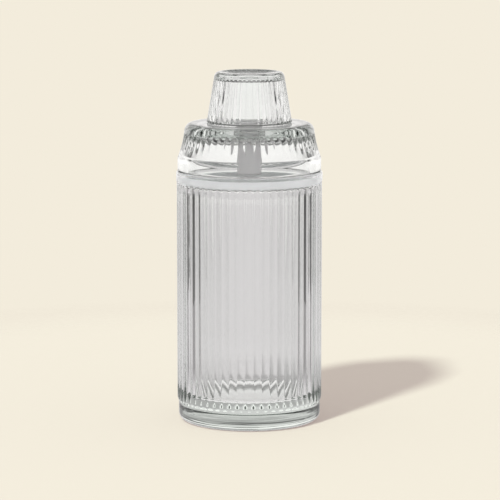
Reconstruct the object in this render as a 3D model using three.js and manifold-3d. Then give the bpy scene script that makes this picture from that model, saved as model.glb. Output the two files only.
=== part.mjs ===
// Ribbed glass cocktail shaker: a heavy-based beaker, a ribbed shoulder lid sealed by a silicone ring,
// and a ribbed glass cap whose peg, in a frosted silicone sleeve, plugs the lid's pour hole.
// Millimetres, +Z up. The origin is the centre of the foot, on the surface that the shaker stands on.
import * as THREE from 'three';
import { mergeVertices } from 'three/addons/utils/BufferGeometryUtils.js';
import Module from 'manifold-3d';

const wasm = await Module();
wasm.setup();

// Gap left wherever two pieces seat on or pass through each other.
const seatGap = 0.3;
const pourHoleClearance = 0.45;

// The beaker.
const beaker = {
  height: 156.3,
  barrelRadius: 45,
  wall: 4.3,
  ribCount: 56,
  ribDepth: 0.9,
  ribFade: 7.5,
  baseThickness: 17,
  floorFillet: 3,
  footInset: 0.9,
  footHeight: 12.5,
  footSwell: 2.5,
  footFillet: 4.5,
  footRingWidth: 5.6,
  punt: 1.5,
  lipProud: 0.3,
  lipHeight: 6.6,
  lipRound: 1.7,
  mouthWall: 4.1,
  mouthDepth: 9,
  mouthTaper: 2,
};

// The shoulder lid. Heights are measured up from its seat on the beaker's lip.
const lid = {
  skirtInset: 0.9,
  skirtHeight: 8,
  shoulderInset: 4.1,
  shoulderHeight: 23.4,
  shoulderSag: 1,
  height: 29.2,
  edgeWidth: 4.6,
  ribCount: 56,
  ribDepth: 1.1,
  ribFade: 12,
  plateThickness: 6,
  ceilingFillet: 8,
  wallTaper: 0.085,
  spigotToe: 1.3,
  spigotToeWidth: 1,
  spigotWall: 1.6,
  pourHoleRadius: 8.6,
};

// The silicone ring in the spigot's groove.
const gasket = {
  height: 4.2,
  thickness: 1.4,
  chamfer: 0.5,
  belowSeat: 2.4,
};

// The cap. Heights are measured up from its seat on the lid's plate.
const cap = {
  height: 31.2,
  mouthRadius: 26.4,
  topRadius: 21.2,
  ribCount: 48,
  ribDepth: 0.5,
  ribTop: 26.8,
  ribFade: 1.2,
  wall: 3.8,
  wallTaper: 0.04,
  crownThickness: 4,
  cavityFillet: 3,
  rimRound: 2.7,
  dishRadius: 17.6,
  dishFloorRadius: 9.8,
  dishDepth: 1.5,
};

// The stopper: the cap's peg and the frosted sleeve on it.
const stopper = {
  depthBelowPlate: 30.6,
  tipTaper: 0.75,
  tipRound: 2.2,
  tipChamfer: 1,
  sleeveWall: 1.6,
  collarOverlap: 1.1,
  collarHeight: 1.2,
};

const plainSegments = 56;
const pegSegments = 28;
const facetsPerRib = 4;
const filletSteps = 3;
const flareSteps = 3;

// How far a joined shape is sunk into its neighbour, so that the two truly cross, and how far one
// turned surface stands inside the next where the two would otherwise lie in one skin.
const sink = 0.5;
const undercut = 0.1;

// Places that follow from the sizes above.
const floorZ = beaker.baseThickness;
const rimZ = beaker.height;
const lipZ = rimZ - beaker.lipHeight;
const bore = beaker.barrelRadius - beaker.wall;
const footRadius = beaker.barrelRadius - beaker.footInset;
const lipRadius = beaker.barrelRadius + beaker.lipProud;
const mouthRadius = lipRadius - beaker.mouthWall;
const skirtRadius = lipRadius - lid.skirtInset;
const shoulderRadius = skirtRadius - lid.shoulderInset;
const lidSeatZ = rimZ + seatGap;
const plateZ = lidSeatZ + lid.height;
const shoulderZ = lidSeatZ + lid.shoulderHeight;
const ceilingZ = plateZ - lid.plateThickness;
const gasketTopZ = rimZ - gasket.belowSeat;
const gasketBottomZ = gasketTopZ - gasket.height;
const spigotZ = gasketBottomZ - seatGap - lid.spigotToe;
const gasketRadius = mouthRadius - seatGap;
const spigotRadius = mouthRadius - 2 * seatGap;
const grooveRadius = gasketRadius - gasket.thickness - seatGap;
const spigotBore = grooveRadius - lid.spigotWall;
const skirtWall = skirtRadius - spigotBore;
const sleeveRadius = lid.pourHoleRadius - pourHoleClearance;
const collarRadius = lid.pourHoleRadius + stopper.collarOverlap;
const capSeatZ = plateZ + seatGap;
const capTopZ = capSeatZ + cap.height;
const crownZ = capTopZ - cap.crownThickness;
const collarTopZ = capSeatZ + stopper.collarHeight;
const pegRadius = sleeveRadius - stopper.sleeveWall - seatGap;
const tipZ = plateZ - stopper.depthBelowPlate;

const point = (radius, height) => new THREE.Vector2(radius, height);

// Points of a quarter round from one corner tangent to the other, both of them included.
function quarterRound(centre, radiusAcross, radiusUp, startAngle) {
  const points = [];
  for (let step = 0; step <= filletSteps; step += 1) {
    const angle = startAngle + (step / filletSteps) * (Math.PI / 2);
    points.push(point(centre.x + radiusAcross * Math.cos(angle), centre.y + radiusUp * Math.sin(angle)));
  }
  return points;
}

// A closed three.js geometry as a solid that can be joined and cut.
function solidFrom(geometry) {
  geometry.deleteAttribute('normal');
  geometry.deleteAttribute('uv');
  const merged = mergeVertices(geometry);
  const corners = merged.index.array;
  const triangles = [];
  for (let i = 0; i < corners.length; i += 3) {
    const [a, b, c] = corners.slice(i, i + 3);
    if (a !== b && b !== c && c !== a) triangles.push(a, b, c);
  }
  const mesh = new wasm.Mesh({
    numProp: 3,
    vertProperties: merged.attributes.position.array,
    triVerts: Uint32Array.from(triangles),
  });
  return new wasm.Manifold(mesh);
}

// A solid turned round the Z axis from a profile of (radius, height), up its outside.
function turned(profile, segments = plainSegments) {
  const geometry = new THREE.LatheGeometry(profile, segments);
  geometry.rotateX(Math.PI / 2);
  return solidFrom(geometry);
}

// A turned solid whose outside carries convex ribs: each crest keeps the profile's radius and the
// surface falls away to the creases between crests, as deep as depthAt says at that height.
function ribbed(profile, count, depthAt) {
  const geometry = new THREE.LatheGeometry(profile, count * facetsPerRib);
  geometry.rotateX(Math.PI / 2);
  const place = geometry.attributes.position;
  for (let i = 0; i < place.count; i += 1) {
    const x = place.getX(i);
    const y = place.getY(i);
    const turns = (Math.atan2(y, x) / (2 * Math.PI)) * count;
    const fromCrest = 2 * Math.abs(turns - Math.round(turns));
    const radius = Math.hypot(x, y);
    const drop = depthAt(place.getZ(i)) * fromCrest ** 2;
    const scale = radius > 0 ? (radius - drop) / radius : 1;
    place.setXY(i, x * scale, y * scale);
  }
  return solidFrom(geometry);
}

function node(name, solid, material) {
  const result = solid.getMesh();
  const geometry = new THREE.BufferGeometry();
  geometry.setAttribute('position', new THREE.BufferAttribute(result.vertProperties, 3));
  geometry.setIndex(new THREE.BufferAttribute(result.triVerts, 1));
  geometry.computeVertexNormals();
  const mesh = new THREE.Mesh(geometry, material);
  mesh.name = name;
  return mesh;
}

const clearGlass = () => new THREE.MeshStandardMaterial({
  color: 0xe4e7e5,
  roughness: 0.03,
  metalness: 0,
  transparent: true,
  opacity: 0.35,
});

const frostedSilicone = (color) => new THREE.MeshStandardMaterial({
  color,
  roughness: 0.55,
  metalness: 0,
});

// Beaker: plain foot, ribbed barrel and plain lip in one glass, hollow down to the thick base.
function beakerGlass() {
  const fillet = beaker.footFillet;
  const ringOuter = footRadius - fillet;
  const ringInner = ringOuter - beaker.footRingWidth;
  const swellStart = beaker.footHeight - beaker.footSwell;
  const swellEnd = beaker.footHeight + beaker.footSwell;
  const foot = turned([
    point(0, beaker.punt),
    point(ringInner - beaker.punt, beaker.punt),
    point(ringInner, 0),
    ...quarterRound(point(ringOuter, fillet), fillet, fillet, -Math.PI / 2),
    point(footRadius, swellStart + sink),
    point(0, swellStart + sink),
  ]);

  const fadeEnd = beaker.footHeight + beaker.ribFade;
  const depthAt = (z) => {
    const fadedIn = THREE.MathUtils.clamp((z - beaker.footHeight) / beaker.ribFade, 0, 1);
    return beaker.ribDepth * fadedIn;
  };
  const barrel = ribbed([
    point(0, swellStart),
    point(footRadius - undercut, swellStart),
    point(beaker.barrelRadius, swellEnd),
    point(beaker.barrelRadius, fadeEnd),
    point(beaker.barrelRadius, lipZ + sink),
    point(0, lipZ + sink),
  ], beaker.ribCount, depthAt);

  const round = beaker.lipRound;
  const lip = turned([
    point(0, lipZ),
    point(lipRadius, lipZ),
    ...quarterRound(point(lipRadius - round, rimZ - round), round, round, 0),
    point(0, rimZ),
  ]);

  const floorFillet = beaker.floorFillet;
  const hollow = turned([
    point(0, floorZ),
    ...quarterRound(point(bore - floorFillet, floorZ + floorFillet), floorFillet, floorFillet, -Math.PI / 2),
    point(bore, rimZ - beaker.mouthDepth - beaker.mouthTaper),
    point(mouthRadius, rimZ - beaker.mouthDepth),
    point(mouthRadius, rimZ + sink),
    point(0, rimZ + sink),
  ]);
  return foot.add(barrel).add(lip).subtract(hollow);
}

// Lid: skirt and spigot, ribbed shoulder and rounded plate in one glass, with the pour hole through it.
function lidGlass() {
  const skirtZ = lidSeatZ + lid.skirtHeight;
  const grooveBottomZ = gasketBottomZ - seatGap;
  const grooveTopZ = gasketTopZ + seatGap;
  const skirt = turned([
    point(0, spigotZ),
    point(grooveRadius, spigotZ),
    point(grooveRadius + lid.spigotToeWidth, grooveBottomZ),
    point(grooveRadius, grooveBottomZ),
    point(grooveRadius, grooveTopZ),
    point(spigotRadius, grooveTopZ),
    point(spigotRadius, lidSeatZ),
    point(skirtRadius, lidSeatZ),
    point(skirtRadius, skirtZ),
    point(0, skirtZ),
  ]);

  const fadeStart = shoulderZ - lid.ribFade;
  const depthAt = (z) => lid.ribDepth * THREE.MathUtils.clamp((z - fadeStart) / lid.ribFade, 0, 1);
  const flare = new THREE.QuadraticBezierCurve(
    point(skirtRadius, skirtZ),
    point((skirtRadius + shoulderRadius) / 2 - lid.shoulderSag, (skirtZ + shoulderZ) / 2),
    point(shoulderRadius, shoulderZ),
  );
  const shoulder = ribbed([
    point(0, skirtZ - sink),
    point(skirtRadius - undercut, skirtZ - sink),
    ...flare.getPoints(flareSteps),
    point(shoulderRadius, shoulderZ + sink),
    point(0, shoulderZ + sink),
  ], lid.ribCount, depthAt);

  const edgeHeight = plateZ - shoulderZ;
  const edgeCentre = point(shoulderRadius + undercut - lid.edgeWidth, shoulderZ);
  const plate = turned([
    point(0, shoulderZ),
    ...quarterRound(edgeCentre, lid.edgeWidth, edgeHeight, 0),
    point(0, plateZ),
  ]);

  // The hollow follows the outside, and the wall between them thickens towards the ceiling.
  const fillet = lid.ceilingFillet;
  const filletZ = ceilingZ - fillet;
  const hollowRadiusAt = (z) => {
    const outside = flare.getPoint(Math.max(0, (z - skirtZ) / (shoulderZ - skirtZ)));
    return outside.x - skirtWall - lid.wallTaper * (z - lidSeatZ);
  };
  const wallPoints = [point(hollowRadiusAt(lidSeatZ), lidSeatZ)];
  for (let step = 0; step < flareSteps; step += 1) {
    const z = THREE.MathUtils.lerp(skirtZ, filletZ, step / flareSteps);
    wallPoints.push(point(hollowRadiusAt(z), z));
  }
  const hollow = turned([
    point(0, spigotZ - sink),
    point(spigotBore, spigotZ - sink),
    ...wallPoints,
    ...quarterRound(point(hollowRadiusAt(filletZ) - fillet, filletZ), fillet, fillet, 0),
    point(0, ceilingZ),
  ]);
  const pourHole = turned([
    point(0, ceilingZ - sink),
    point(lid.pourHoleRadius, ceilingZ - sink),
    point(lid.pourHoleRadius, plateZ + sink),
    point(0, plateZ + sink),
  ], pegSegments);
  return skirt.add(shoulder).add(plate).subtract(hollow).subtract(pourHole);
}

// Gasket: a flat band whose outer face presses on the beaker's mouth.
function lidGasket() {
  const inner = gasketRadius - gasket.thickness;
  const face = gasketRadius - gasket.chamfer;
  return turned([
    point(inner, gasketBottomZ),
    point(face, gasketBottomZ),
    point(gasketRadius, gasketBottomZ + gasket.chamfer),
    point(gasketRadius, gasketTopZ - gasket.chamfer),
    point(face, gasketTopZ),
    point(inner, gasketTopZ),
    point(inner, gasketBottomZ),
  ]);
}

// Cap: a ribbed cup, open below, with the solid peg that carries the sleeve down its middle.
function capGlass() {
  const ribTopZ = capSeatZ + cap.ribTop;
  const depthAt = (z) => cap.ribDepth * THREE.MathUtils.clamp((ribTopZ - z) / cap.ribFade, 0, 1);
  const wallSlope = (cap.topRadius - cap.mouthRadius) / cap.height;
  const radiusAt = (z) => cap.mouthRadius + wallSlope * (z - capSeatZ);
  const cup = ribbed([
    point(0, capSeatZ),
    point(cap.mouthRadius, capSeatZ),
    point(radiusAt(ribTopZ - cap.ribFade), ribTopZ - cap.ribFade),
    point(radiusAt(ribTopZ), ribTopZ),
    point(0, ribTopZ),
  ], cap.ribCount, depthAt);

  const round = cap.rimRound;
  const roundRise = capTopZ - ribTopZ;
  const crown = turned([
    point(0, ribTopZ - sink),
    point(radiusAt(ribTopZ - sink) - undercut, ribTopZ - sink),
    ...quarterRound(point(radiusAt(ribTopZ) - undercut - round, ribTopZ), round, roundRise, 0),
    point(cap.dishRadius, capTopZ),
    point(cap.dishFloorRadius, capTopZ - cap.dishDepth),
    point(0, capTopZ - cap.dishDepth),
  ], cap.ribCount);

  const fillet = cap.cavityFillet;
  const filletZ = crownZ - fillet;
  const boreAt = (z) => radiusAt(z) - cap.wall - cap.wallTaper * (z - capSeatZ);
  const cavity = turned([
    point(0, capSeatZ - sink),
    point(boreAt(capSeatZ), capSeatZ - sink),
    ...quarterRound(point(boreAt(filletZ) - fillet, filletZ), fillet, fillet, 0),
    point(0, crownZ),
  ], cap.ribCount);

  const pegTipZ = tipZ + stopper.sleeveWall + seatGap;
  const pegTipRadius = pegRadius - stopper.tipTaper;
  const peg = turned([
    point(0, pegTipZ),
    point(pegTipRadius - stopper.tipChamfer, pegTipZ),
    point(pegTipRadius, pegTipZ + stopper.tipChamfer),
    point(pegRadius, capSeatZ),
    point(pegRadius, collarTopZ + seatGap),
    point(sleeveRadius, collarTopZ + seatGap),
    point(sleeveRadius, crownZ + sink),
    point(0, crownZ + sink),
  ], pegSegments);
  return cup.add(crown).subtract(cavity).add(peg);
}

// Sleeve: a tapered plug with a round closed tip below and a collar that rests on the lid's plate.
function stopperSleeve() {
  const tipRadius = sleeveRadius - stopper.tipTaper;
  const round = stopper.tipRound;
  const outside = turned([
    point(0, tipZ),
    ...quarterRound(point(tipRadius - round, tipZ + round), round, round, -Math.PI / 2),
    point(sleeveRadius, (tipZ + ceilingZ) / 2),
    point(sleeveRadius, capSeatZ),
    point(collarRadius, capSeatZ),
    point(collarRadius, collarTopZ),
    point(0, collarTopZ),
  ], pegSegments);
  const boreRadius = pegRadius + seatGap;
  const tipBore = boreRadius - stopper.tipTaper;
  const tipBoreZ = tipZ + stopper.sleeveWall;
  const inside = turned([
    point(0, tipBoreZ),
    point(tipBore - stopper.tipChamfer, tipBoreZ),
    point(tipBore, tipBoreZ + stopper.tipChamfer),
    point(boreRadius, capSeatZ),
    point(boreRadius, collarTopZ + sink),
    point(0, collarTopZ + sink),
  ], pegSegments);
  return outside.subtract(inside);
}

const shaker = new THREE.Group();
shaker.add(node('body_glass', beakerGlass(), clearGlass()));
shaker.add(node('lid_gasket', lidGasket(), frostedSilicone(0xdadcdc)));
shaker.add(node('lid_glass', lidGlass(), clearGlass()));
shaker.add(node('stopper_sleeve', stopperSleeve(), frostedSilicone(0xaaa8a8)));
shaker.add(node('cap_glass', capGlass(), clearGlass()));

export default shaker;
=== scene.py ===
import math

import bmesh
import bpy
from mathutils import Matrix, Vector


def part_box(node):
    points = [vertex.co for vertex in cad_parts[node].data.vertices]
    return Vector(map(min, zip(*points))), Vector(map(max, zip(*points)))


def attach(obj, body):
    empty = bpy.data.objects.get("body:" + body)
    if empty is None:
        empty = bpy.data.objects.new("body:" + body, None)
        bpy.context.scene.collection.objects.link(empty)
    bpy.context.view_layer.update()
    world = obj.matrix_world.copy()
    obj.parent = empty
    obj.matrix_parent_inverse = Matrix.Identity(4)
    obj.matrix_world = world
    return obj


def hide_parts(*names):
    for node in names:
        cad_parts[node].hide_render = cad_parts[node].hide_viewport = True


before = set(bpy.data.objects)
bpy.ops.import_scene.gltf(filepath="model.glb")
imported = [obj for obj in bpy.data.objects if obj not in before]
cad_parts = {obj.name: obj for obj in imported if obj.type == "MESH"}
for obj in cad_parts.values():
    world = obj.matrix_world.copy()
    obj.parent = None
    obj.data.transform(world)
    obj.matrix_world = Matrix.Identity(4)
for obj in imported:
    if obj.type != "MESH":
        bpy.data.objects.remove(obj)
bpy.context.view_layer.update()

mm = 0.001
poleRadius = 0.005   # a ring this small closes up to one point when doubles are merged
mergeReach = 0.015   # points closer than this become one
creaseAngle = 75     # edges sharper than this stay sharp


# camera

cameraSetup = {
    "lens": 197.9,
    "sensor": 36.0,
    "distance": 1.709,
    "tiltDown": 8.72,
    "aimHeight": 0.1062,
    "clipNear": 0.05,
    "clipFar": 50,
    "sideStep": 0.0004,
}


def placeCamera(setup):
    tilt = math.radians(setup["tiltDown"])
    back = setup["distance"] * math.cos(tilt)
    rise = setup["distance"] * math.sin(tilt)
    bpy.ops.object.select_all(action="DESELECT")
    bpy.ops.object.camera_add(
        location=(setup["sideStep"], -back, setup["aimHeight"] + rise),
        rotation=(math.pi / 2 - tilt, 0, 0),
    )
    camera = bpy.context.object
    camera.name = "studioCamera"
    camera.data.lens = setup["lens"]
    camera.data.sensor_width = setup["sensor"]
    camera.data.clip_start = setup["clipNear"]
    camera.data.clip_end = setup["clipFar"]
    bpy.context.scene.camera = camera


placeCamera(cameraSetup)
print("camera placed")


# turned glass: one rib's width is drawn up row by row, then spun round

def row(radius, height, depth=0.0):
    # one row of the profile, in millimetres; depth is how far the crease between ribs falls in
    return {"radius": radius, "height": height, "depth": depth}


def bend(radius, height, across, up, fromAngle, toAngle, steps):
    # rows round part of a circle or ellipse about (radius, height)
    made = []
    for i in range(steps + 1):
        angle = math.radians(fromAngle + (toAngle - fromAngle) * i / steps)
        made.append(row(radius + across * math.cos(angle), height + up * math.sin(angle)))
    return made


def pickPoints(test):
    mesh = bpy.context.object.data
    points = bmesh.from_edit_mesh(mesh)
    for point in points.verts:
        point.select = test(point.co)
    points.select_flush_mode()
    bmesh.update_edit_mesh(mesh)


def angleFromCrest(co):
    return abs(math.atan2(co.x, co.y))


def pressCreases(rows, ribs, columns, softness):
    # pushes each column of a ribbed row in by its share of the depth, most at the crease
    columnAngle = 2 * math.pi / ribs / columns
    for line in rows:
        if line["depth"] <= 0:
            continue
        for column in range(1, columns // 2 + 1):
            share = column / (columns / 2)
            drop = line["depth"] * share ** softness
            pickPoints(
                lambda co: abs(co.z - line["height"] * mm) < 1e-6
                and abs(math.hypot(co.x, co.y) - line["radius"] * mm) < 1e-5
                and abs(angleFromCrest(co) - column * columnAngle) < columnAngle / 2
            )
            squeeze = 1 - drop / line["radius"]
            bpy.ops.transform.resize(value=(squeeze, squeeze, 1), center_override=(0, 0, 0))


def turnPiece(name, rows, ribs, columns, softness=2.0):
    start = rows[0]
    bpy.ops.object.select_all(action="DESELECT")
    bpy.ops.mesh.primitive_circle_add(
        vertices=ribs * columns, radius=start["radius"] * mm, location=(0, 0, start["height"] * mm)
    )
    piece = bpy.context.object
    piece.name = name
    piece.data.name = name
    bpy.ops.object.transform_apply(location=True, rotation=True, scale=True)
    bpy.ops.object.mode_set(mode="EDIT")
    bpy.ops.mesh.select_mode(type="VERT")
    edgeAngle = math.pi / ribs * (1 + 0.5 / columns)
    pickPoints(lambda co: angleFromCrest(co) > edgeAngle)
    bpy.ops.mesh.delete(type="VERT")
    bpy.ops.mesh.select_all(action="SELECT")
    for last, line in zip(rows, rows[1:]):
        bpy.ops.mesh.extrude_edges_move(
            TRANSFORM_OT_translate={"value": (0, 0, (line["height"] - last["height"]) * mm)}
        )
        stretch = line["radius"] / last["radius"]
        bpy.ops.transform.resize(value=(stretch, stretch, 1), center_override=(0, 0, 0))
    pressCreases(rows, ribs, columns, softness)
    bpy.ops.mesh.select_all(action="SELECT")
    bpy.ops.mesh.spin(
        steps=ribs - 1,
        dupli=True,
        angle=2 * math.pi * (ribs - 1) / ribs,
        center=(0, 0, 0),
        axis=(0, 0, 1),
    )
    bpy.ops.mesh.select_all(action="SELECT")
    bpy.ops.mesh.remove_doubles(threshold=mergeReach * mm)
    bpy.ops.mesh.select_all(action="SELECT")
    bpy.ops.mesh.normals_make_consistent(inside=False)
    bpy.ops.object.mode_set(mode="OBJECT")
    bpy.ops.object.shade_smooth_by_angle(angle=math.radians(creaseAngle))
    return piece


def finishPiece(piece, body, slot, material, *nodes):
    piece.data.materials.clear()
    piece.data.materials.append(material)
    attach(piece, body)
    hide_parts(*nodes)
    print(piece.name, "made,", len(piece.data.polygons), "faces")


def topOf(node):
    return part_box(node)[1].z / mm


def widthOf(node):
    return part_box(node)[1].x / mm


# materials

def newMaterial(name):
    material = bpy.data.materials.new(name)
    material.use_nodes = True
    return material, material.node_tree.nodes, material.node_tree.links


def mathNode(nodes, operation, value=None):
    node = nodes.new("ShaderNodeMath")
    node.operation = operation
    if value is not None:
        node.inputs[1].default_value = value
    return node


def rampNode(nodes, start, end, low, high):
    # smooth step from low to high between start and end
    node = nodes.new("ShaderNodeMapRange")
    node.interpolation_type = "SMOOTHSTEP"
    node.inputs["From Min"].default_value = start
    node.inputs["From Max"].default_value = end
    node.inputs["To Min"].default_value = low
    node.inputs["To Max"].default_value = high
    return node


def rippleBump(nodes, links, ripple):
    # slow sag and fine orange peel that pressing leaves in a surface
    place = nodes.new("ShaderNodeTexCoord")
    slow = nodes.new("ShaderNodeTexNoise")
    slow.inputs["Scale"].default_value = ripple["slowScale"]
    slow.inputs["Detail"].default_value = 1
    fine = nodes.new("ShaderNodeTexNoise")
    fine.inputs["Scale"].default_value = ripple["fineScale"]
    fine.inputs["Detail"].default_value = 2
    slowBump = nodes.new("ShaderNodeBump")
    slowBump.inputs["Strength"].default_value = 1
    slowBump.inputs["Distance"].default_value = ripple["slowHeight"]
    fineBump = nodes.new("ShaderNodeBump")
    fineBump.inputs["Strength"].default_value = 1
    fineBump.inputs["Distance"].default_value = ripple["fineHeight"]
    links.new(place.outputs["Object"], slow.inputs["Vector"])
    links.new(place.outputs["Object"], fine.inputs["Vector"])
    links.new(slow.outputs["Fac"], slowBump.inputs["Height"])
    links.new(fine.outputs["Fac"], fineBump.inputs["Height"])
    links.new(slowBump.outputs["Normal"], fineBump.inputs["Normal"])
    if "ringScale" in ripple:
        links.new(footRings(nodes, links, ripple), slowBump.inputs["Normal"])
    return fineBump.outputs["Normal"]


pressedGlass = {
    "colour": (0.99, 0.995, 0.992, 1),
    "ior": 1.5,
    "tint": (0.76, 0.86, 0.79, 1),
    "tintDensity": 7.0,
    "slowScale": 60,
    "slowHeight": 0.00004,
    "fineScale": 400,
    "fineHeight": 0.000003,
}


def footRings(nodes, links, ripple):
    # faint rings that the mould leaves round the foot, gone above it
    place = nodes.new("ShaderNodeTexCoord")
    flat = nodes.new("ShaderNodeMapping")
    flat.inputs["Scale"].default_value = ripple["ringScale"]
    rings = nodes.new("ShaderNodeTexNoise")
    rings.inputs["Scale"].default_value = 1
    rings.inputs["Detail"].default_value = 2
    height = nodes.new("ShaderNodeSeparateXYZ")
    low = rampNode(nodes, ripple["ringTop"] * ripple["ringFade"], ripple["ringTop"], 1, 0)
    bump = nodes.new("ShaderNodeBump")
    bump.inputs["Strength"].default_value = 1
    faded = mathNode(nodes, "MULTIPLY")
    bump.inputs["Distance"].default_value = ripple["ringHeight"]
    links.new(place.outputs["Object"], flat.inputs["Vector"])
    links.new(flat.outputs[0], rings.inputs["Vector"])
    links.new(place.outputs["Object"], height.inputs[0])
    links.new(height.outputs["Z"], low.inputs["Value"])
    links.new(rings.outputs["Fac"], faded.inputs[0])
    links.new(low.outputs[0], faded.inputs[1])
    links.new(faded.outputs[0], bump.inputs["Height"])
    return bump.outputs["Normal"]


beakerGlass = dict(
    pressedGlass, ringScale=(25, 25, 650), ringFade=0.6, ringTop=0.011, ringHeight=0.00012
)


def makeGlass(name, look):
    material, nodes, links = newMaterial(name)
    shader = nodes["Principled BSDF"]
    shader.inputs["Base Color"].default_value = look["colour"]
    shader.inputs["Roughness"].default_value = 0
    shader.inputs["IOR"].default_value = look["ior"]
    shader.inputs["Transmission Weight"].default_value = 1
    links.new(rippleBump(nodes, links, look), shader.inputs["Normal"])
    tint = nodes.new("ShaderNodeVolumeAbsorption")
    tint.inputs["Color"].default_value = look["tint"]
    tint.inputs["Density"].default_value = look["tintDensity"]
    links.new(tint.outputs["Volume"], nodes["Material Output"].inputs["Volume"])
    return material


sealSilicone = {
    "colour": (0.89, 0.89, 0.895, 1),
    "roughness": 0.5,
    "ior": 1.41,
    "clear": 0.05,
    "slowScale": 90,
    "slowHeight": 0.00003,
    "fineScale": 2500,
    "fineHeight": 0.000012,
}

sleeveSilicone = dict(sealSilicone, colour=(0.605, 0.585, 0.59, 1), clear=0.15)


def makeSilicone(name, look):
    material, nodes, links = newMaterial(name)
    shader = nodes["Principled BSDF"]
    shader.inputs["Base Color"].default_value = look["colour"]
    shader.inputs["Roughness"].default_value = look["roughness"]
    shader.inputs["IOR"].default_value = look["ior"]
    shader.inputs["Transmission Weight"].default_value = look["clear"]
    links.new(rippleBump(nodes, links, look), shader.inputs["Normal"])
    return material


bodyGlass = makeGlass("pressedBodyGlass", beakerGlass)
lidGlass = makeGlass("pressedLidGlass", pressedGlass)
capGlass = makeGlass("pressedCapGlass", pressedGlass)
ringSilicone = makeSilicone("frostedRingSilicone", sealSilicone)
plugSilicone = makeSilicone("frostedSleeveSilicone", sleeveSilicone)
print("materials mixed")


# beaker

beaker = {
    "ribs": 56,
    "columns": 10,
    "ribDepth": 0.9,
    "crest": 45.0,
    "foot": 44.1,
    "footRise": 10.9,
    "swellEnd": 14.6,
    "fadeFrom": 12.5,
    "fadeTo": 20.0,
    "barrelRows": (16, 17, 18, 19, 20, 21, 22, 24, 28, 60, 100, 135, 142),
    "footRound": 4.5,
    "ringInside": 34.0,
    "punt": 1.6,
    "puntRows": ((12, 0.02), (24, 0.1), (30.5, 0.3)),   # radius, and its fall below the middle
    "puntEdge": ((32.5, 0.8), (33.4, 0.3)),
    "ringRise": 0.06,
    "footRows": (5.4, 7, 9, 10),
    "swellSteps": 6,
    "belowLip": (4, 2.6, 1.6, 0.9, 0.3),
    "ribGap": 0.2,
    "ribFade": 1.2,
    "mouthRows": (150, 148.5),
    "mouthEase": ((41.1, 147), (40.8, 145.4)),
    "boreRows": (144, 143, 142, 140, 110, 75, 40, 26, 23, 21.5),
    "floorRows": (36, 34, 30, 20, 10),
    "lipHeight": 6.6,
    "lipRound": 1.7,
    "mouth": 41.2,
    "mouthRound": 1.1,
    "bore": 40.7,
    "floor": 17.0,
    "floorRound": 3.0,
}


def makeBeaker(size):
    top = topOf("body_glass")
    lip = widthOf("body_glass")
    lipStart = top - size["lipHeight"]
    ringOutside = size["foot"] - size["footRound"]
    rows = [row(poleRadius, size["punt"])]
    rows += [row(radius, size["punt"] - fall) for radius, fall in size["puntRows"]]
    rows += [row(radius, height) for radius, height in size["puntEdge"]]
    rows.append(row(size["ringInside"], size["ringRise"]))
    rows += [row(size["ringInside"] + 1, 0), row((size["ringInside"] + ringOutside) / 2, 0)]
    rows += bend(ringOutside, size["footRound"], size["footRound"], size["footRound"], -90, 0, 8)
    rows += [row(size["foot"], height) for height in size["footRows"]]
    swell = size["crest"] - size["foot"]
    swellEnd = size["swellEnd"]
    for i in range(size["swellSteps"] + 1):
        share = i / size["swellSteps"]
        height = size["footRise"] + (swellEnd - size["footRise"]) * share
        ease = share * share * (3 - 2 * share)
        rows.append(row(size["foot"] + swell * ease, height))
    for height in size["barrelRows"]:
        rows.append(row(size["crest"], height))
    rows += [row(size["crest"], lipStart - fall) for fall in size["belowLip"]]
    rows.append(row(size["crest"] + 0.1, lipStart + 0.1))
    rows.append(row(lip - 0.05, lipStart + 0.5))
    rows.append(row(lip, lipStart + 1))
    lipRound = size["lipRound"]
    rows += bend(lip - lipRound, top - lipRound, lipRound, lipRound, 0, 90, 7)
    mouthRound = size["mouthRound"]
    rows += bend(size["mouth"] + mouthRound, top - mouthRound, mouthRound, mouthRound, 90, 180, 5)
    rows += [row(size["mouth"], height) for height in size["mouthRows"]]
    rows += [row(radius, height) for radius, height in size["mouthEase"]]
    rows += [row(size["bore"], height) for height in size["boreRows"]]
    corner = size["floorRound"]
    rows += bend(size["bore"] - corner, size["floor"] + corner, corner, corner, 0, -90, 6)
    rows += [row(radius, size["floor"]) for radius in (*size["floorRows"], poleRadius)]
    ribEnd = lipStart - size["ribGap"]
    for line in rows:
        outside = line["radius"] > size["bore"] + 1
        if outside and size["fadeFrom"] < line["height"] < ribEnd:
            fadeLength = size["fadeTo"] - size["fadeFrom"]
            fadeIn = min(1, (line["height"] - size["fadeFrom"]) / fadeLength)
            fadeOut = min(1, (ribEnd - line["height"]) / size["ribFade"])
            line["depth"] = size["ribDepth"] * fadeIn * fadeOut
    return turnPiece("ribbedBeaker", rows, size["ribs"], size["columns"])


finishPiece(makeBeaker(beaker), "beaker", "body_glass", bodyGlass, "body_glass")


# shoulder lid

shoulderLid = {
    "ribs": 56,
    "columns": 10,
    "ribDepth": 1.1,
    "skirt": 44.4,
    "skirtRise": 7.6,
    "shoulder": 40.3,
    "shoulderDrop": 6.0,
    "edgeWidth": 4.5,
    "sag": 1.0,
    "fadeLength": 12.0,
    "flareRows": (
        0.012, 0.03, 0.05, 0.08, 0.14, 0.22, 0.3, 0.38, 0.46, 0.54, 0.62, 0.7, 0.78, 0.86, 0.93, 1
    ),
    "ribStart": 0.7,
    "edgeRound": 0.8,
    "holeMiddle": 2,
    "plateRows": (13, 20, 27, 32),
    "seatMiddle": 42,
    "boreRound": 0.7,
    "skirtRows": (1, 2.5, 4.5),
    "wallSteps": 10,
    "ceilingRows": (22, 15),
    "plate": 6.0,
    "ceilingRound": 8.0,
    "wallGain": 0.085,
    "bore": 37.6,
    "spigot": 40.6,
    "groove": 39.2,
    "toe": 40.2,
    "hole": 8.6,
    "seatGap": 0.3,
}


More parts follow.
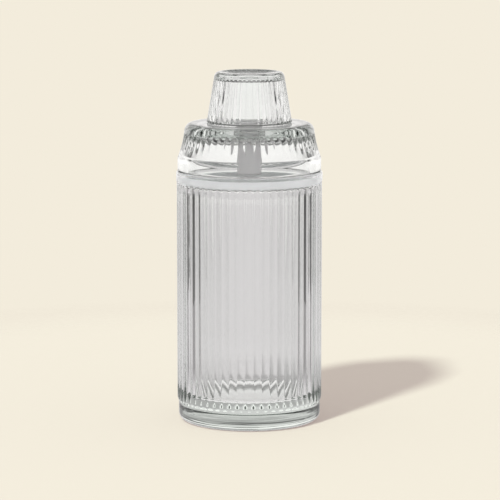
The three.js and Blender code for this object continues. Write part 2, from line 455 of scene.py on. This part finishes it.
def makeLid(size):
    top = topOf("lid_glass")
    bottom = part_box("lid_glass")[0].z / mm
    seat = topOf("body_glass") + size["seatGap"]
    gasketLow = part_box("lid_gasket")[0].z / mm
    gasketHigh = topOf("lid_gasket")
    shoulderTop = top - size["shoulderDrop"]
    ceiling = top - size["plate"]
    hole = size["hole"]
    gap = size["seatGap"]
    edge = size["edgeRound"]
    rows = [row(hole, ceiling + size["holeMiddle"]), row(hole, top - 2 * edge)]
    rows += bend(hole + edge, top - edge, edge, edge, 180, 90, 4)
    rows += [row(radius, top) for radius in size["plateRows"]]
    edgeCentre = size["shoulder"] - size["edgeWidth"]
    rows += bend(edgeCentre, shoulderTop, size["edgeWidth"], size["shoulderDrop"], 90, 0, 9)
    ribTop = shoulderTop - 0.1
    flareEnd = seat + size["skirtRise"]
    middle = (size["skirt"] + size["shoulder"]) / 2 - size["sag"]
    middleHeight = (shoulderTop + flareEnd) / 2

    def flareAt(t):
        radius = (1 - t) ** 2 * size["shoulder"] + 2 * t * (1 - t) * middle + t * t * size["skirt"]
        height = (1 - t) ** 2 * shoulderTop + 2 * t * (1 - t) * middleHeight + t * t * flareEnd
        return row(radius, height)

    flare = [flareAt(t) for t in size["flareRows"]]
    for line in flare:
        fadeStart = shoulderTop - size["fadeLength"]
        fade = min(1, max(0, (line["height"] - fadeStart) / size["fadeLength"]))
        start = min(1, max(0, (ribTop - line["height"]) / size["ribStart"]))
        line["depth"] = size["ribDepth"] * fade * start
    rows += flare
    rows += [row(size["skirt"], flareEnd - 2), row(size["skirt"], seat + 2 * edge)]
    rows += bend(size["skirt"] - edge, seat + edge, edge, edge, 0, -90, 4)
    rows += [
        row(size["seatMiddle"], seat),
        row(size["spigot"], seat),
        row(size["spigot"], gasketHigh + 1.2),
        row(size["spigot"], gasketHigh + gap),
        row(size["groove"], gasketHigh + gap),
        row(size["groove"], gasketLow - gap),
        row(size["toe"], gasketLow - gap),
        row(size["toe"] - 0.2, bottom + 0.6),
        row(size["groove"], bottom + 0.1),
        row(size["groove"] - 1, bottom),
        row(size["bore"] + 0.8, bottom),
    ]
    inside = size["boreRound"]
    rows += bend(size["bore"] + inside, bottom + inside, inside, inside, -90, -180, 4)
    ceilingRound = size["ceilingRound"]
    boreHeights = (bottom + 2, bottom + 5, seat - 2, seat - 1, seat)
    rows += [row(size["bore"], height) for height in boreHeights]
    skirtHeights = [seat + rise for rise in size["skirtRows"]]
    for height in (*skirtHeights, flareEnd - 1, flareEnd):
        rows.append(row(size["bore"] - size["wallGain"] * (height - seat), height))
    flareWall = size["skirt"] - rows[-1]["radius"]
    filletStart = ceiling - ceilingRound
    # up the inside of the flare, the wall thickening as it rises
    wallSteps = size["wallSteps"]
    for i in range(1, wallSteps + 1):
        t = 1 - i / wallSteps * (filletStart - flareEnd) / (shoulderTop - flareEnd)
        line = flareAt(t)
        rise = line["height"] - flareEnd
        rows.append(row(line["radius"] - flareWall - size["wallGain"] * rise, line["height"]))
    filletCentre = rows[-1]["radius"] - ceilingRound
    rows += bend(filletCentre, filletStart, ceilingRound, ceilingRound, 10, 90, 7)
    rows += [row(radius, ceiling) for radius in size["ceilingRows"]]
    rows += bend(hole + edge, ceiling + edge, edge, edge, -90, -180, 4)
    rows.append(row(hole, ceiling + size["holeMiddle"]))
    return turnPiece("ribbedLid", rows, size["ribs"], size["columns"])


finishPiece(makeLid(shoulderLid), "lid", "lid_glass", lidGlass, "lid_glass")


# seal ring in the lid's groove

sealRing = {
    "slices": 24,
    "columns": 8,
    "thickness": 1.4,
    "squeeze": 0.32,
    "round": 0.4,
    "chamfer": 0.2,
}


def makeSealRing(size):
    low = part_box("lid_gasket")[0].z / mm
    high = topOf("lid_gasket")
    inner = widthOf("lid_gasket") - size["thickness"]
    # its face is squeezed flat on the beaker's mouth, so that no air is left between them
    face = widthOf("lid_gasket") + size["squeeze"]
    corner = size["round"]
    middle = (low + high) / 2
    chamfer = size["chamfer"]
    rows = [row(inner, middle), row(inner, low + chamfer), row(inner + chamfer, low)]
    rows += bend(face - corner, low + corner, corner, corner, -90, 0, 5)
    rows.append(row(face, middle))
    rows += bend(face - corner, high - corner, corner, corner, 0, 90, 5)
    rows += [row(inner + chamfer, high), row(inner, high - chamfer), row(inner, middle)]
    return turnPiece("sealRing", rows, size["slices"], size["columns"])


finishPiece(makeSealRing(sealRing), "lid", "gasket_silicone", ringSilicone, "lid_gasket")


# sleeve on the cap's peg

plugSleeve = {
    "slices": 16,
    "columns": 6,
    "shank": 8.15,
    "shankStart": 15,
    "tip": 7.4,
    "tipRound": 2.2,
    "tipFlat": 2.5,
    "wall": 1.6,
    "collarHeight": 1.2,
    "collarRound": 0.4,
    "boreRound": 0.9,
}


def makeSleeve(size):
    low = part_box("stopper_sleeve")[0].z / mm
    high = topOf("stopper_sleeve")
    collar = widthOf("stopper_sleeve")
    seat = high - size["collarHeight"]
    shank = size["shank"]
    tip = size["tip"]
    tipRound = size["tipRound"]
    flat = size["tipFlat"]
    lip = size["collarRound"]
    inside = size["boreRound"]
    bore = shank - size["wall"]
    tipBore = tip - size["wall"]
    rows = [row(poleRadius, low), row(flat, low)]
    rows += bend(tip - tipRound, low + tipRound, tipRound, tipRound, -90, 0, 6)
    rows += [row(tip + 0.35, low + 6), row(shank - 0.08, low + 11)]
    rows += [row(shank, height) for height in (low + size["shankStart"], seat - 1, seat)]
    rows += bend(collar - lip, seat + lip, lip, lip, -90, 0, 3)
    rows += bend(collar - 0.7, high - 0.7, 0.7, 0.7, 0, 90, 4)
    rows += bend(bore + lip, high - lip, lip, lip, 90, 180, 3)
    rows += [row(bore, seat), row(tipBore, low + size["wall"] + 1.2)]
    rows += bend(tipBore - inside, low + size["wall"] + inside, inside, inside, 0, -90, 3)
    rows += [row(flat, low + size["wall"]), row(poleRadius, low + size["wall"])]
    return turnPiece("plugSleeve", rows, size["slices"], size["columns"])


finishPiece(makeSleeve(plugSleeve), "cap", "sleeve_silicone", plugSilicone, "stopper_sleeve")


# cap with its peg

ribbedCap = {
    "ribs": 48,
    "columns": 10,
    "ribDepth": 0.5,
    "ribTop": 3.6,
    "ribFade": 1.2,
    "crownSide": 21.9,
    "crownDrop": 4.4,
    "crownRound": 2.8,
    "dish": 17.6,
    "dishFloor": 9.8,
    "dishDepth": 1.5,
    "wall": 3.8,
    "wallGain": 0.04,
    "crown": 4.0,
    "cavityRound": 1.8,
    "rimOutside": 0.9,
    "rimInside": 1.4,
    "peg": 8.15,
    "pegShank": 6.25,
    "pegTip": 5.5,
    "collarGap": 0.3,
    "seatGap": 0.3,
    "belowCrown": (0.5, 1),
    "sideRows": (205, 197, 190),
    "aboveRim": (2.4, 1.6, 1.1),
    "cavityRows": (6, 12),
    "pegRoot": 1.5,
    "pegShoulder": 0.5,
    "tipRound": 1.2,
    "tipFlat": 2.5,
}


def makeCap(size):
    top = topOf("cap_glass")
    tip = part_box("cap_glass")[0].z / mm
    mouth = widthOf("cap_glass")
    seat = topOf("lid_glass") + size["seatGap"]
    crownStart = top - size["crownDrop"]
    slope = (size["crownSide"] - mouth) / (crownStart - seat)

    def side(height):
        return mouth + slope * (height - seat)

    floor = top - size["dishDepth"]
    rows = [row(poleRadius, floor), row(4, floor), row(size["dishFloor"] - 1, floor)]
    rows += [row(size["dishFloor"], floor + 0.05), row(size["dishFloor"] + 1, floor + 0.3)]
    rows += [row(size["dish"] - 1, top - 0.35), row(size["dish"], top - 0.12)]
    crownCentre = size["crownSide"] - size["crownRound"]
    rows += bend(crownCentre, crownStart, size["crownRound"], size["crownDrop"], 90, 0, 12)
    sideHeights = [crownStart - fall for fall in size["belowCrown"]]
    sideHeights += size["sideRows"]
    sideHeights += [seat + rise for rise in size["aboveRim"]]
    rows += [row(side(height), height) for height in sideHeights]
    rimOutside = size["rimOutside"]
    rows += bend(side(seat) - rimOutside, seat + rimOutside, rimOutside, rimOutside, -5, -90, 6)
    ribTop = top - size["ribTop"]
    for line in rows:
        if line["radius"] > size["crownSide"] - 1.2:
            fade = min(1, max(0, (ribTop - line["height"]) / size["ribFade"]))
            line["depth"] = size["ribDepth"] * fade
    mouthBore = side(seat) - size["wall"]
    rimInside = size["rimInside"]
    rows += bend(mouthBore + rimInside, seat + rimInside, rimInside, rimInside, -90, -180, 6)
    cavityTop = top - size["crown"]
    cavityRound = size["cavityRound"]
    narrowing = slope - size["wallGain"]
    rows += [row(mouthBore + narrowing * rise, seat + rise) for rise in size["cavityRows"]]
    cavityEnd = mouthBore + narrowing * (cavityTop - cavityRound - seat)
    rows += bend(cavityEnd - cavityRound, cavityTop - cavityRound, cavityRound, cavityRound, 0, 90, 10)
    peg = size["peg"]
    root = size["pegRoot"]
    rows += bend(peg + root, cavityTop - root, root, root, 90, 180, 5)
    shankTop = topOf("stopper_sleeve") + size["collarGap"]
    rows += [row(peg, 200), row(peg, shankTop + 0.8)]
    ledge = size["pegShoulder"]
    rows += bend(peg - ledge, shankTop + ledge, ledge, ledge, 0, -90, 3)
    rows += [row(size["pegShank"] + 0.3, shankTop), row(size["pegShank"], shankTop - 0.3)]
    rows += [row(size["pegShank"], seat - 3), row(size["pegTip"], tip + 1.4)]
    tipRound = size["tipRound"]
    rows += bend(size["pegTip"] - tipRound, tip + tipRound, tipRound, tipRound, 0, -90, 4)
    rows += [row(size["tipFlat"], tip), row(poleRadius, tip)]
    return turnPiece("ribbedCap", rows, size["ribs"], size["columns"])


finishPiece(makeCap(ribbedCap), "cap", "cap_glass", capGlass, "cap_glass")


# studio

studio = {
    "backdrop": (0.896, 0.839, 0.716, 1),
    "floorWide": 0.9,
    "floorDeep": 2.4,
    "backStart": 0.93,
    "backEnd": 1.12,
    "floorSeen": (0.118, 0.1225, 0.0985, 1),
    "floorGlow": (0.353, 0.275, 0.263, 1),
    "floorThroughGlass": (0.082, 0.079, 0.080, 1),
    "throughGlow": (1, 0.965, 0.965, 1),
    "glowThroughGlass": 0.345,
    "underGlow": 0.85,
    "underRange": (0.04, 0.055),
    "floorReach": 0.30,
    "floorFade": 0.15,
    "floorSide": 0.36,
    "floorSideBlur": 0.2,
    "floorSideShade": 0.66,
    "floorSideNear": 0.12,
    "floorSideFar": 0.22,
    "fill": 1.85,
    "keyTurn": -32.3,
    "keyRise": 46.2,
    "keyBlur": 5.5,
    "keyPower": 12.7,
    "roomColour": (1, 0.977, 0.965, 1),
    "backGlow": 1.08,
    "highBack": 0.12,
    "lowBack": 0.82,
    "backEdge": 0.6,
    "wideEdge": 0.35,
    "edgeBlur": 0.16,
    "frontGlow": 0.16,
    "topGlow": 0.4,
    "sideGlow": 0.4,
    "roomShade": 0.02,
    "lowShade": 0.14,
    "widenRange": (-0.12, -0.08),
    "highRange": (0.08, 0.34),
    "lowRange": (-0.14, -0.105),
    "frontRange": (-0.5, -0.95),
    "topRange": (0.7, 0.95),
    "sideRange": (0.94, 0.985),
    "shadeRange": (-0.16, -0.1),
    "keyHeight": 1.4,
}


def makeFloor(look):
    bpy.ops.object.select_all(action="DESELECT")
    bpy.ops.mesh.primitive_plane_add(size=1, location=(0, 0, -0.0002))
    floor = bpy.context.object
    floor.scale = (look["floorWide"], look["floorDeep"], 1)
    bpy.ops.object.transform_apply(location=False, rotation=False, scale=True)
    floor.name = "studioFloor"
    material, nodes, links = newMaterial("paleFloor")
    nodes.remove(nodes["Principled BSDF"])
    seenPaint = nodes.new("ShaderNodeBsdfDiffuse")
    seenPaint.inputs["Color"].default_value = look["floorSeen"]
    seenGlow = nodes.new("ShaderNodeEmission")
    seenGlow.inputs["Color"].default_value = look["floorGlow"]
    seen = nodes.new("ShaderNodeAddShader")
    links.new(seenPaint.outputs[0], seen.inputs[0])
    links.new(seenGlow.outputs[0], seen.inputs[1])
    throughPaint = nodes.new("ShaderNodeBsdfDiffuse")
    throughPaint.inputs["Color"].default_value = look["floorThroughGlass"]
    throughGlow = nodes.new("ShaderNodeEmission")
    throughGlow.inputs["Color"].default_value = look["throughGlow"]
    under = rampNode(nodes, *look["underRange"], look["underGlow"], look["glowThroughGlass"])
    through = nodes.new("ShaderNodeAddShader")
    links.new(under.outputs[0], throughGlow.inputs["Strength"])
    links.new(throughPaint.outputs[0], through.inputs[0])
    links.new(throughGlow.outputs[0], through.inputs[1])
    clear = nodes.new("ShaderNodeBsdfTransparent")
    ray = nodes.new("ShaderNodeLightPath")
    place = nodes.new("ShaderNodeTexCoord")
    reach = nodes.new("ShaderNodeVectorMath")
    reach.operation = "LENGTH"
    fade = rampNode(nodes, look["floorReach"], look["floorReach"] + look["floorFade"], 1, 0)
    edge = nodes.new("ShaderNodeMixShader")
    choose = nodes.new("ShaderNodeMixShader")
    parts = nodes.new("ShaderNodeSeparateXYZ")
    farEnd = rampNode(nodes, look["backStart"], look["backEnd"], 0, 1)
    away = nodes.new("ShaderNodeMixShader")
    links.new(place.outputs["Object"], parts.inputs[0])
    links.new(parts.outputs["Y"], farEnd.inputs["Value"])
    # through the glass the table is darker to the sides and in front, which draws the outer ribs
    heading = mathNode(nodes, "DIVIDE")
    sideways = rampNode(
        nodes, look["floorSide"], look["floorSide"] + look["floorSideBlur"], look["floorSideShade"], 0
    )
    clearOfFoot = rampNode(nodes, look["floorSideNear"], look["floorSideFar"], 0, 1)
    sideShade = mathNode(nodes, "MULTIPLY")
    darker = mathNode(nodes, "MAXIMUM")
    links.new(parts.outputs["Y"], heading.inputs[0])
    links.new(reach.outputs["Value"], heading.inputs[1])
    links.new(heading.outputs[0], sideways.inputs["Value"])
    links.new(reach.outputs["Value"], clearOfFoot.inputs["Value"])
    links.new(sideways.outputs[0], sideShade.inputs[0])
    links.new(clearOfFoot.outputs[0], sideShade.inputs[1])
    links.new(farEnd.outputs[0], darker.inputs[0])
    links.new(sideShade.outputs[0], darker.inputs[1])
    links.new(darker.outputs[0], away.inputs[0])
    links.new(through.outputs[0], away.inputs[1])
    links.new(clear.outputs[0], away.inputs[2])
    links.new(place.outputs["Object"], reach.inputs[0])
    links.new(reach.outputs["Value"], fade.inputs["Value"])
    links.new(reach.outputs["Value"], under.inputs["Value"])
    links.new(fade.outputs["Result"], edge.inputs[0])
    links.new(clear.outputs[0], edge.inputs[1])
    links.new(seen.outputs[0], edge.inputs[2])
    links.new(ray.outputs["Is Camera Ray"], choose.inputs[0])
    links.new(away.outputs[0], choose.inputs[1])
    links.new(edge.outputs[0], choose.inputs[2])
    links.new(choose.outputs[0], nodes["Material Output"].inputs["Surface"])
    floor.data.materials.append(material)


def makeWorld(look):
    world = bpy.data.worlds.new("studioWorld")
    bpy.context.scene.world = world
    world.use_nodes = True
    nodes = world.node_tree.nodes
    links = world.node_tree.links
    plain = nodes["Background"]
    plain.inputs["Color"].default_value = look["backdrop"]
    direction = nodes.new("ShaderNodeTexCoord")
    parts = nodes.new("ShaderNodeSeparateXYZ")
    links.new(direction.outputs["Generated"], parts.inputs[0])
    back = rampNode(nodes, look["backEdge"], look["backEdge"] + look["edgeBlur"], 0, look["backGlow"])
    # above the table's edge the bright back reaches further round the sides
    widen = rampNode(nodes, *look["widenRange"], look["backEdge"], look["wideEdge"])
    widenEnd = mathNode(nodes, "ADD", look["edgeBlur"])
    links.new(parts.outputs["Z"], widen.inputs["Value"])
    links.new(widen.outputs[0], widenEnd.inputs[0])
    links.new(widen.outputs[0], back.inputs["From Min"])
    links.new(widenEnd.outputs[0], back.inputs["From Max"])
    height = rampNode(nodes, *look["highRange"], 1, look["highBack"])
    low = rampNode(nodes, *look["lowRange"], look["lowBack"], 1)
    heights = mathNode(nodes, "MULTIPLY")
    links.new(parts.outputs["Z"], low.inputs["Value"])
    links.new(height.outputs[0], heights.inputs[0])
    links.new(low.outputs[0], heights.inputs[1])
    front = rampNode(nodes, *look["frontRange"], 0, look["frontGlow"])
    top = rampNode(nodes, *look["topRange"], 0, look["topGlow"])
    side = rampNode(nodes, *look["sideRange"], 0, look["sideGlow"])
    eitherSide = mathNode(nodes, "ABSOLUTE")
    addSide = mathNode(nodes, "ADD")
    links.new(parts.outputs["X"], eitherSide.inputs[0])
    links.new(eitherSide.outputs[0], side.inputs["Value"])
    links.new(parts.outputs["Y"], back.inputs["Value"])
    links.new(parts.outputs["Y"], front.inputs["Value"])
    links.new(parts.outputs["Z"], top.inputs["Value"])
    addFront = mathNode(nodes, "ADD")
    addTop = mathNode(nodes, "ADD")
    shaped = mathNode(nodes, "MULTIPLY")
    shade = rampNode(nodes, *look["shadeRange"], look["lowShade"], look["roomShade"])
    lifted = mathNode(nodes, "ADD")
    links.new(parts.outputs["Z"], height.inputs["Value"])
    links.new(back.outputs[0], shaped.inputs[0])
    links.new(heights.outputs[0], shaped.inputs[1])
    links.new(parts.outputs["Z"], shade.inputs["Value"])
    links.new(shaped.outputs[0], lifted.inputs[0])
    links.new(shade.outputs[0], lifted.inputs[1])
    links.new(lifted.outputs[0], addFront.inputs[0])
    links.new(front.outputs[0], addFront.inputs[1])
    links.new(addFront.outputs[0], addTop.inputs[0])
    links.new(top.outputs[0], addTop.inputs[1])
    room = nodes.new("ShaderNodeBackground")
    room.inputs["Color"].default_value = look["roomColour"]
    links.new(addTop.outputs[0], addSide.inputs[0])
    links.new(side.outputs[0], addSide.inputs[1])
    links.new(addSide.outputs[0], room.inputs["Strength"])
    fill = nodes.new("ShaderNodeBackground")
    fill.inputs["Color"].default_value = (1, 1, 1, 1)
    fill.inputs["Strength"].default_value = look["fill"]
    ray = nodes.new("ShaderNodeLightPath")
    bounced = mathNode(nodes, "GREATER_THAN", 0.5)
    links.new(ray.outputs["Diffuse Depth"], bounced.inputs[0])
    lit = nodes.new("ShaderNodeMixShader")
    links.new(bounced.outputs[0], lit.inputs[0])
    links.new(room.outputs[0], lit.inputs[1])
    links.new(fill.outputs[0], lit.inputs[2])
    choose = nodes.new("ShaderNodeMixShader")
    links.new(ray.outputs["Is Camera Ray"], choose.inputs[0])
    links.new(lit.outputs[0], choose.inputs[1])
    links.new(plain.outputs[0], choose.inputs[2])
    links.new(choose.outputs[0], nodes["World Output"].inputs["Surface"])


def makeKeyLight(look):
    turn = math.radians(look["keyTurn"])
    rise = math.radians(look["keyRise"])
    bpy.ops.object.select_all(action="DESELECT")
    bpy.ops.object.light_add(
        type="SUN",
        location=(math.sin(turn), -math.cos(turn), look["keyHeight"]),
        rotation=(math.pi / 2 - rise, 0, turn),
    )
    key = bpy.context.object
    key.name = "keyLight"
    key.data.angle = math.radians(look["keyBlur"])
    key.data.energy = look["keyPower"]
    # it lights and casts the shadow, and isn't seen in the glass
    key.visible_glossy = False
    key.visible_transmission = False


makeFloor(studio)
makeWorld(studio)
makeKeyLight(studio)

scene = bpy.context.scene
scene.view_settings.view_transform = "Standard"
scene.cycles.max_bounces = 32
scene.cycles.transmission_bounces = 28
scene.cycles.glossy_bounces = 12
scene.cycles.caustics_reflective = False
scene.cycles.sample_clamp_indirect = 2
scene.cycles.use_denoising = True
print("studio lit")
